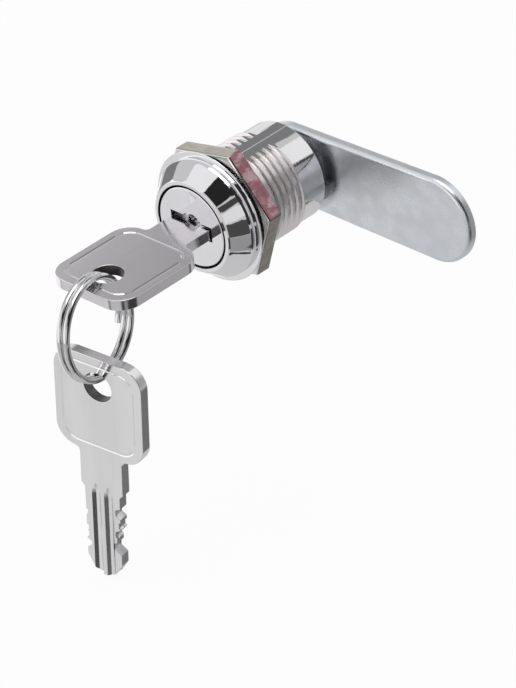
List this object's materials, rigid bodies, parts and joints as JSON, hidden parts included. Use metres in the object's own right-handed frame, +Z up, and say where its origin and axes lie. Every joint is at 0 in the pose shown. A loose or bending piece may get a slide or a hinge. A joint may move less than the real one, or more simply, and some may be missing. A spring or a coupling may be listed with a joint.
{
  "type": "mailbox lock",
  "caption": "Cam lock for a mailbox door: chromed bezel on a threaded barrel with a hex nut, a flat latch cam, and a flat key in the plug that carries a spare on a split ring.",
  "frame": {"origin": "on the lock's axis, on the back face of the bezel, where the outside of the mailbox door lies", "axes": "+Y along the lock axis from the key side to the cam side, +X along the cam at rest, +Z up"},
  "size_m": [0.0544, 0.0681, 0.0712],
  "materials": {
    "housing_chrome": "bright chrome plate on a zinc casting",
    "nut_zinc": "yellow passivated zinc plate with a faint iridescent tint",
    "plug_chrome": "bright chrome plate",
    "wafer_brass": "stamped brass",
    "spring_steel": "drawn spring wire",
    "stop_dark": "dark oxide steel",
    "cam_zinc": "blue passivated zinc plate, satin",
    "rear_zinc": "blue passivated zinc plate",
    "key_nickel": "satin nickel plate on stamped steel",
    "ring_steel": "polished nickel plated wire"
  },
  "bodies": {
    "housing": {"housing": "housing_chrome"},
    "nut": {"mounting_nut": "nut_zinc"},
    "plug_group": {"plug": "plug_chrome", "wafer_spring_1": "spring_steel", "wafer_spring_2": "spring_steel", "wafer_spring_3": "spring_steel", "wafer_spring_4": "spring_steel", "wafer_spring_5": "spring_steel", "wafer_spring_6": "spring_steel", "stop_washer": "stop_dark", "cam": "cam_zinc", "lock_washer": "rear_zinc", "cam_screw": "rear_zinc"},
    "wafer_body_1": {"wafer_1": "wafer_brass"},
    "wafer_body_2": {"wafer_2": "wafer_brass"},
    "wafer_body_3": {"wafer_3": "wafer_brass"},
    "wafer_body_4": {"wafer_4": "wafer_brass"},
    "wafer_body_5": {"wafer_5": "wafer_brass"},
    "wafer_body_6": {"wafer_6": "wafer_brass"},
    "key_body": {"key": "key_nickel"},
    "ring_body": {"split_ring": "ring_steel"},
    "spare_key_body": {"spare_key": "key_nickel"}
  },
  "joints": [
    {"name": "nut_travel", "type": "slide", "parent": "housing", "child": "nut", "axis": [0, 1, 0], "range_m": [0, 0.0088]},
    {"name": "plug_turn", "type": "hinge", "parent": "housing", "child": "plug_group", "pos_m": [0, 0, 0], "axis": [0, 1, 0], "range_deg": [0, 90]},
    {"name": "key_pull", "type": "slide", "parent": "plug_group", "child": "key_body", "axis": [0, -1, 0], "range_m": [0, 0.024]},
    {"name": "wafer_1_slide", "type": "slide", "parent": "plug_group", "child": "wafer_body_1", "axis": [1, 0, 0], "range_m": [0, 0.0009]},
    {"name": "wafer_2_slide", "type": "slide", "parent": "plug_group", "child": "wafer_body_2", "axis": [-1, 0, 0], "range_m": [0, 0.0009]},
    {"name": "wafer_3_slide", "type": "slide", "parent": "plug_group", "child": "wafer_body_3", "axis": [1, 0, 0], "range_m": [0, 0.0009]},
    {"name": "wafer_4_slide", "type": "slide", "parent": "plug_group", "child": "wafer_body_4", "axis": [-1, 0, 0], "range_m": [0, 0.0009]},
    {"name": "wafer_5_slide", "type": "slide", "parent": "plug_group", "child": "wafer_body_5", "axis": [1, 0, 0], "range_m": [0, 0.0009]},
    {"name": "wafer_6_slide", "type": "slide", "parent": "plug_group", "child": "wafer_body_6", "axis": [-1, 0, 0], "range_m": [0, 0.0009]},
    {"name": "ring_turn", "type": "hinge", "parent": "key_body", "child": "ring_body", "pos_m": [0.0013, -0.03263, -0.00653], "axis": [0.9803, 0.1799, 0.0819], "range_deg": [-60, 60]},
    {"name": "spare_key_swing", "type": "hinge", "parent": "ring_body", "child": "spare_key_body", "pos_m": [0.00234, -0.0334, -0.01562], "axis": [-0.1805, 0.9836, 0], "range_deg": [-30, 30]}
  ],
  "couplings": [
    {"joint": "wafer_1_slide", "follows": "key_pull", "ratio": 0.0375},
    {"joint": "wafer_2_slide", "follows": "key_pull", "ratio": 0.0375},
    {"joint": "wafer_3_slide", "follows": "key_pull", "ratio": 0.0375},
    {"joint": "wafer_4_slide", "follows": "key_pull", "ratio": 0.0375},
    {"joint": "wafer_5_slide", "follows": "key_pull", "ratio": 0.0375},
    {"joint": "wafer_6_slide", "follows": "key_pull", "ratio": 0.0375}
  ]
}
